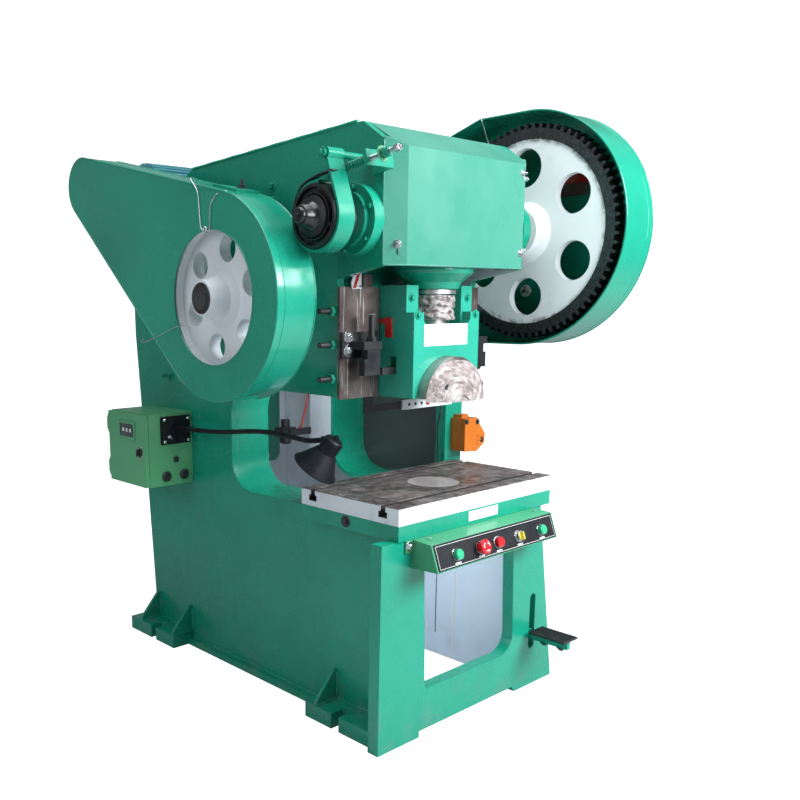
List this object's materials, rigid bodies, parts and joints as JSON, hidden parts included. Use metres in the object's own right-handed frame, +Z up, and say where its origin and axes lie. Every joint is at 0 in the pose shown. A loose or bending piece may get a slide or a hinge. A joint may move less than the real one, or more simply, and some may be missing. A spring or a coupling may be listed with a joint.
{
  "type": "mechanical stamping press",
  "caption": "Gap-frame mechanical stamping press with crank-driven slide, flywheel, open gear, guards, T-slot table and two-hand controls.",
  "frame": {"origin": "on the floor, in the middle of the four foundation slots", "axes": "+X to the operator's right, +Y from the front to the back, +Z up"},
  "size_m": [1.387, 1.77, 2.106],
  "materials": {
    "green_paint": "gloss enamel",
    "light_green_paint": "gloss enamel",
    "cabinet_green": "satin",
    "liner_paint": "satin",
    "white_paint": "satin",
    "grey_paint": "satin",
    "motor_paint": "satin",
    "table_steel": "ground, oiled",
    "bare_steel": "machined",
    "dark_steel": "oiled",
    "gear_iron": "cut teeth, painted web",
    "flywheel_iron": "painted",
    "black_rubber": "matte",
    "black_plastic": "matte",
    "red_plastic": "gloss",
    "green_plastic": "gloss",
    "orange_paint": "satin"
  },
  "bodies": {
    "frame": {"right_side_plate": "green_paint", "left_side_plate": "green_paint", "base_front_plate": "green_paint", "foot_flanges": "green_paint", "throat_liners": "green_paint", "frame_top_plate": "green_paint", "guide_wall": "green_paint", "gib_plates": "bare_steel", "adjusting_screws": "dark_steel", "stop_brackets": "dark_steel", "table_shelf": "green_paint", "table_plate": "table_steel", "rear_panel": "grey_paint", "base_liner": "liner_paint", "front_cover": "light_green_paint", "motor": "motor_paint", "crank_housings": "green_paint", "countershaft_bearings": "green_paint", "brake_band": "green_paint", "brake_anchors": "green_paint", "brake_rod": "dark_steel", "brake_spring": "dark_steel", "flywheel_guard": "green_paint", "gear_guard": "green_paint", "guard_supports": "green_paint", "drive_belts": "black_rubber", "control_box": "cabinet_green", "control_panel": "black_plastic", "cabinet_box": "cabinet_green", "lamp_arm": "black_plastic", "sign_bar": "white_paint", "throat_side_guard": "grey_paint", "throat_side_post": "green_paint", "foot_switch": "orange_paint", "air_filter": "black_plastic", "hose_fitting": "black_plastic", "hose_and_cable": "black_rubber", "pedal_pivot": "green_paint"},
    "crank": {"crankshaft": "bare_steel", "brake_drum": "dark_steel"},
    "crank_gear": {"big_gear": "gear_iron"},
    "countershaft": {"countershaft": "bare_steel", "flywheel": "flywheel_iron"},
    "motor_rotor": {"motor_pulley": "dark_steel"},
    "slide": {"slide_block": "light_green_paint", "ball_screw": "bare_steel", "connecting_rod": "green_paint", "shank_clamp": "bare_steel", "shank_clamp_bolts": "dark_steel"},
    "knockout_bar": {"knockout_bar": "bare_steel"},
    "foot_pedal": {"foot_pedal": "black_plastic"},
    "left_start_button": {"left_start_button": "green_plastic"},
    "emergency_stop_button": {"emergency_stop_button": "red_plastic"},
    "stop_button": {"stop_button": "red_plastic"},
    "mode_selector": {"mode_selector": "black_plastic"},
    "right_start_button": {"right_start_button": "green_plastic"},
    "cabinet_door": {"cabinet_door": "cabinet_green"},
    "cabinet_lock": {"cabinet_lock": "black_plastic"},
    "lamp_head": {"lamp_head": "black_plastic"},
    "foot_switch_treadle": {"foot_switch_treadle": "black_plastic"}
  },
  "joints": [
    {"name": "countershaft_spin", "type": "hinge", "parent": "frame", "child": "countershaft", "pos_m": [-0.6, -0.19257, 1.43901], "axis": [1, 0, 0], "continuous": true},
    {"name": "crank_gear_spin", "type": "hinge", "parent": "frame", "child": "crank_gear", "pos_m": [0.55, -0.564, 1.676], "axis": [1, 0, 0], "continuous": true},
    {"name": "motor_spin", "type": "hinge", "parent": "frame", "child": "motor_rotor", "pos_m": [-0.5, 0.628, 1.856], "axis": [1, 0, 0], "continuous": true},
    {"name": "crank_turn", "type": "hinge", "parent": "frame", "child": "crank", "pos_m": [0, -0.564, 1.676], "axis": [1, 0, 0], "range_deg": [0, 180]},
    {"name": "slide_stroke", "type": "slide", "parent": "frame", "child": "slide", "axis": [0, 0, -1], "range_m": [0, 0.1]},
    {"name": "knockout_lift", "type": "slide", "parent": "slide", "child": "knockout_bar", "axis": [0, 0, 1], "range_m": [0, 0.028]},
    {"name": "pedal_press", "type": "hinge", "parent": "frame", "child": "foot_pedal", "pos_m": [0.343, -0.47, 0.205], "axis": [1, 0, 0], "range_deg": [0, 6], "stiffness_Nm_per_rad": 70, "springref_deg": -25.78},
    {"name": "left_start_press", "type": "slide", "parent": "frame", "child": "left_start_button", "axis": [0, 0.9417, -0.3363], "range_m": [0, 0.005], "stiffness_N_per_m": 700, "springref_m": -0.002},
    {"name": "emergency_stop_press", "type": "slide", "parent": "frame", "child": "emergency_stop_button", "axis": [0, 0.9417, -0.3363], "range_m": [0, 0.006]},
    {"name": "stop_press", "type": "slide", "parent": "frame", "child": "stop_button", "axis": [0, 0.9417, -0.3363], "range_m": [0, 0.005], "stiffness_N_per_m": 700, "springref_m": -0.002},
    {"name": "mode_turn", "type": "hinge", "parent": "frame", "child": "mode_selector", "pos_m": [0.089, -0.89055, 0.64548], "axis": [0, -0.9417, 0.3363], "range_deg": [-45, 45]},
    {"name": "right_start_press", "type": "slide", "parent": "frame", "child": "right_start_button", "axis": [0, 0.9417, -0.3363], "range_m": [0, 0.005], "stiffness_N_per_m": 700, "springref_m": -0.002},
    {"name": "cabinet_door_swing", "type": "hinge", "parent": "frame", "child": "cabinet_door", "pos_m": [-0.572, 0.669, 0.85], "axis": [0, 0, -1], "range_deg": [0, 105]},
    {"name": "cabinet_lock_turn", "type": "hinge", "parent": "cabinet_door", "child": "cabinet_lock", "pos_m": [-0.58, 0.421, 0.846], "axis": [1, 0, 0], "range_deg": [0, 90]},
    {"name": "lamp_head_tilt", "type": "hinge", "parent": "frame", "child": "lamp_head", "pos_m": [-0.391, -0.438, 0.976], "axis": [0.9475, 0, -0.3197], "range_deg": [-25, 12]},
    {"name": "treadle_press", "type": "hinge", "parent": "frame", "child": "foot_switch_treadle", "pos_m": [0.43, -0.37, 0.925], "axis": [1, 0, 0], "range_deg": [0, 7], "stiffness_Nm_per_rad": 0.6, "springref_deg": -11.46}
  ],
  "couplings": [
    {"joint": "crank_gear_spin", "follows": "countershaft_spin", "ratio": -0.15789},
    {"joint": "motor_spin", "follows": "countershaft_spin", "ratio": 4.0278},
    {"joint": "slide_stroke", "follows": "crank_turn", "m_per_rad": 0.031831}
  ]
}
